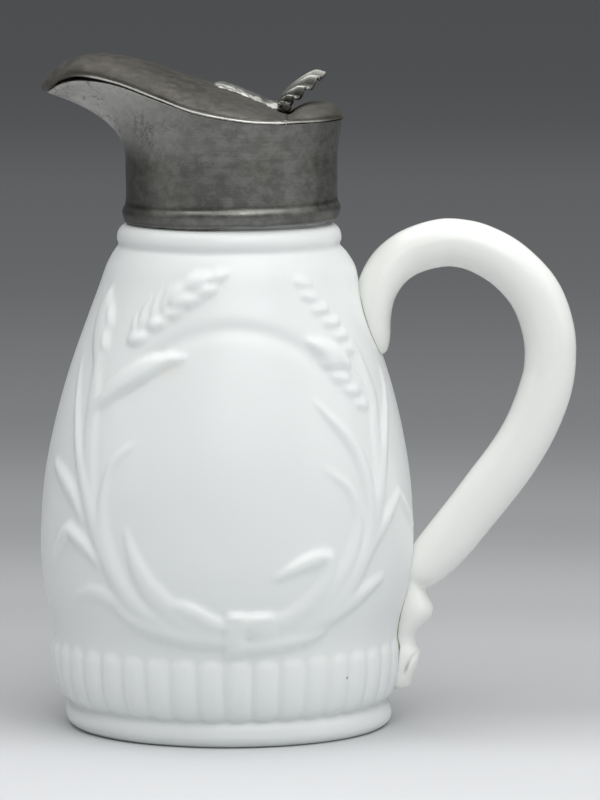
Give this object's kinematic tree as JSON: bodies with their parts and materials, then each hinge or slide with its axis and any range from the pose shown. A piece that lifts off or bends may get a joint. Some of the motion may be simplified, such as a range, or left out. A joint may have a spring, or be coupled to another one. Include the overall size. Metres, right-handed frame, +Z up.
{
  "type": "molasses jug",
  "caption": "Opaque white glass molasses jug with a moulded wheat wreath, an applied loop handle, and a pewter collar with a long spout and a hinged lid lifted by a ribbed thumb-piece.",
  "frame": {"origin": "middle of the flat base", "axes": "+Z up, -X towards the spout, +X towards the handle, -Y towards the wreath that faces the camera"},
  "size_m": [0.1311, 0.0916, 0.1643],
  "materials": {
    "body_glass": "opaque white moulded glass, glossy",
    "handle_glass": "opaque white glass, fire-polished",
    "collar_pewter": "aged pewter, grey patina with stains",
    "cover_pewter": "aged pewter, grey patina",
    "pin_pewter": "dark metal pin",
    "lid_pewter": "aged pewter, grey and olive patina",
    "thumb_pewter": "aged pewter, polished by use"
  },
  "bodies": {
    "jug": {"glass_body": "body_glass", "glass_handle": "handle_glass", "collar": "collar_pewter", "rear_cover": "cover_pewter", "hinge_pin": "pin_pewter"},
    "lid": {"lid": "lid_pewter", "thumb_lift": "thumb_pewter"}
  },
  "joints": [
    {"name": "lid_hinge", "type": "hinge", "parent": "jug", "child": "lid", "pos_m": [0.0139, 0, 0.1514], "axis": [0, 1, 0], "range_deg": [0, 22]}
  ]
}
